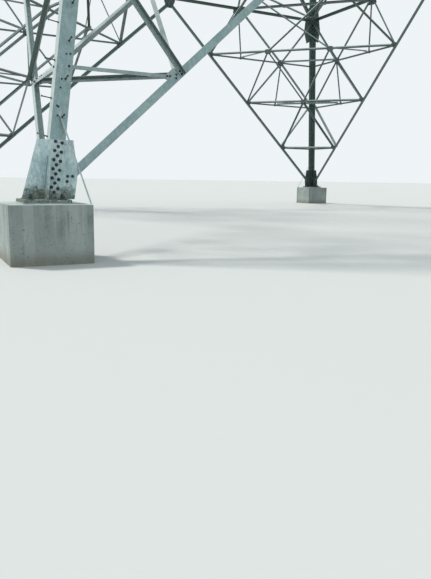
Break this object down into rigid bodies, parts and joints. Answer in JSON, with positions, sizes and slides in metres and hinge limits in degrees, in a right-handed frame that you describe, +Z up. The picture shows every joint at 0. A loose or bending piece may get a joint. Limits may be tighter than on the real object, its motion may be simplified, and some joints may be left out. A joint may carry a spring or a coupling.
{
  "type": "lattice transmission pylon base section",
  "caption": "Base section of a lattice transmission pylon: battered angle-steel legs on concrete piers, with K-braced leg panels, a belt and a cross-braced body panel.",
  "frame": {"origin": "on the ground at the centre of the four piers", "axes": "+Z up, +X to the right and +Y away from the viewer of the near face"},
  "size_m": [20.45, 20.45, 25.06],
  "materials": {
    "pier_concrete": "weathered cast concrete with rain streaks",
    "shoe_steel": "weathered hot-dip galvanised plate",
    "leg_steel": "weathered hot-dip galvanised angle",
    "bracing_steel": "weathered hot-dip galvanised angle",
    "plate_steel": "weathered hot-dip galvanised plate",
    "strap_steel": "dull galvanised flat bar"
  },
  "bodies": {
    "root": {"near_left_pier": "pier_concrete", "near_right_pier": "pier_concrete", "far_right_pier": "pier_concrete", "far_left_pier": "pier_concrete", "near_left_shoe": "shoe_steel", "near_right_shoe": "shoe_steel", "far_right_shoe": "shoe_steel", "far_left_shoe": "shoe_steel", "near_left_leg": "leg_steel", "near_right_leg": "leg_steel", "far_right_leg": "leg_steel", "far_left_leg": "leg_steel", "near_left_upper_leg": "leg_steel", "near_right_upper_leg": "leg_steel", "far_right_upper_leg": "leg_steel", "far_left_upper_leg": "leg_steel", "near_left_hip_bracing": "bracing_steel", "near_right_hip_bracing": "bracing_steel", "far_right_hip_bracing": "bracing_steel", "far_left_hip_bracing": "bracing_steel", "near_diagonals": "leg_steel", "right_diagonals": "leg_steel", "far_diagonals": "leg_steel", "left_diagonals": "leg_steel", "near_bracing": "bracing_steel", "right_bracing": "bracing_steel", "far_bracing": "bracing_steel", "left_bracing": "bracing_steel", "near_gussets": "plate_steel", "right_gussets": "plate_steel", "far_gussets": "plate_steel", "left_gussets": "plate_steel", "near_belt": "leg_steel", "right_belt": "leg_steel", "far_belt": "leg_steel", "left_belt": "leg_steel", "near_upper_bracing": "bracing_steel", "right_upper_bracing": "bracing_steel", "far_upper_bracing": "bracing_steel", "left_upper_bracing": "bracing_steel", "inner_plates": "plate_steel", "belt_level_bracing": "bracing_steel", "top_level_bracing": "bracing_steel", "leg_splices": "plate_steel", "earth_straps": "strap_steel"}
  },
  "joints": []
}
